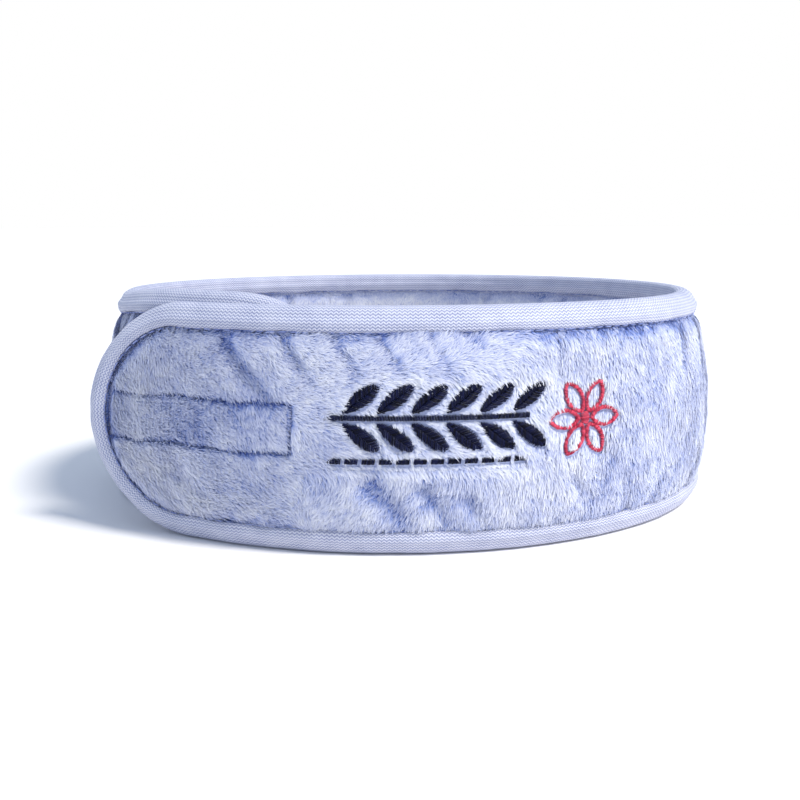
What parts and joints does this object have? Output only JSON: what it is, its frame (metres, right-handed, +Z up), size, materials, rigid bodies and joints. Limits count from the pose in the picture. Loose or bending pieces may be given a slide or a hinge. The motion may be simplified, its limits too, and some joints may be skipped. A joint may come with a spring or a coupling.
{
  "type": "spa headband",
  "caption": "Padded plush headband that wraps round the head, its free end closed by a hook-and-loop tab, with bound edges and an embroidered sprig and blossom.",
  "frame": {"origin": "on the surface the band stands on, under the middle of the closed ring's box", "axes": "+Z up, across the band's width; -Y towards the front, where the embroidery is; +X to the wearer's left, the free tab at the front on the -X side"},
  "size_m": [0.1924, 0.1965, 0.062],
  "materials": {
    "plush": "deep cut pile, combed flat, periwinkle",
    "padding": "soft white wadding",
    "binding_tape": "fine knit tape, pale lavender, a little sheen",
    "binding_thread": "spun sewing thread, matched to the tape",
    "seam_thread": "spun sewing thread, matched to the plush",
    "hook_tape": "woven nylon tape with moulded hooks",
    "loop_tape": "brushed nylon loops",
    "backing": "thin non-woven sheet",
    "navy_thread": "glossy embroidery thread",
    "coral_thread": "glossy embroidery thread"
  },
  "bodies": {
    "back": {"outer_panel_back": "plush", "padding_back": "padding", "inner_panel_back": "plush", "edge_binding_back": "binding_tape", "binding_seam_back": "binding_thread"},
    "right": {"outer_panel_right": "plush", "padding_right": "padding", "inner_panel_right": "plush", "edge_binding_right": "binding_tape", "binding_seam_right": "binding_thread"},
    "front": {"outer_panel_front": "plush", "padding_front": "padding", "inner_panel_front": "plush", "edge_binding_front": "binding_tape", "binding_seam_front": "binding_thread", "embroidery_backing": "backing", "embroidery_sprig": "navy_thread", "embroidery_blossom": "coral_thread"},
    "tab": {"outer_panel_tab": "plush", "padding_tab": "padding", "inner_panel_tab": "plush", "edge_binding_tab": "binding_tape", "binding_seam_tab": "binding_thread", "hook_tape": "hook_tape", "hook_tape_seam": "seam_thread"},
    "left": {"outer_panel_left": "plush", "padding_left": "padding", "inner_panel_left": "plush", "edge_binding_left": "binding_tape", "binding_seam_left": "binding_thread"},
    "tail": {"outer_panel_tail": "plush", "padding_tail": "padding", "inner_panel_tail": "plush", "edge_binding_tail": "binding_tape", "binding_seam_tail": "binding_thread", "loop_tape": "loop_tape", "loop_tape_seam": "seam_thread"}
  },
  "joints": [
    {"name": "spread", "type": "hinge", "parent": "back", "child": "right", "pos_m": [0.08313, 0.0498, 0.031], "axis": [0, 0, 1], "range_deg": [0, 45]},
    {"name": "flex_front", "type": "hinge", "parent": "right", "child": "front", "pos_m": [0.08313, -0.04813, 0.031], "axis": [0, 0, 1], "range_deg": [0, 45]},
    {"name": "tab_peel", "type": "hinge", "parent": "front", "child": "tab", "pos_m": [-0.02553, -0.09537, 0.031], "axis": [0, 0, 1], "range_deg": [0, 80]},
    {"name": "flex_back", "type": "hinge", "parent": "back", "child": "left", "pos_m": [-0.08358, 0.0498, 0.031], "axis": [0, 0, -1], "range_deg": [0, 27]},
    {"name": "flex_tail", "type": "hinge", "parent": "left", "child": "tail", "pos_m": [-0.08358, -0.04478, 0.031], "axis": [0, 0, -1], "range_deg": [0, 27]}
  ],
  "couplings": [
    {"joint": "flex_front", "follows": "spread", "ratio": 1},
    {"joint": "flex_back", "follows": "spread", "ratio": 0.6},
    {"joint": "flex_tail", "follows": "spread", "ratio": 0.6}
  ]
}
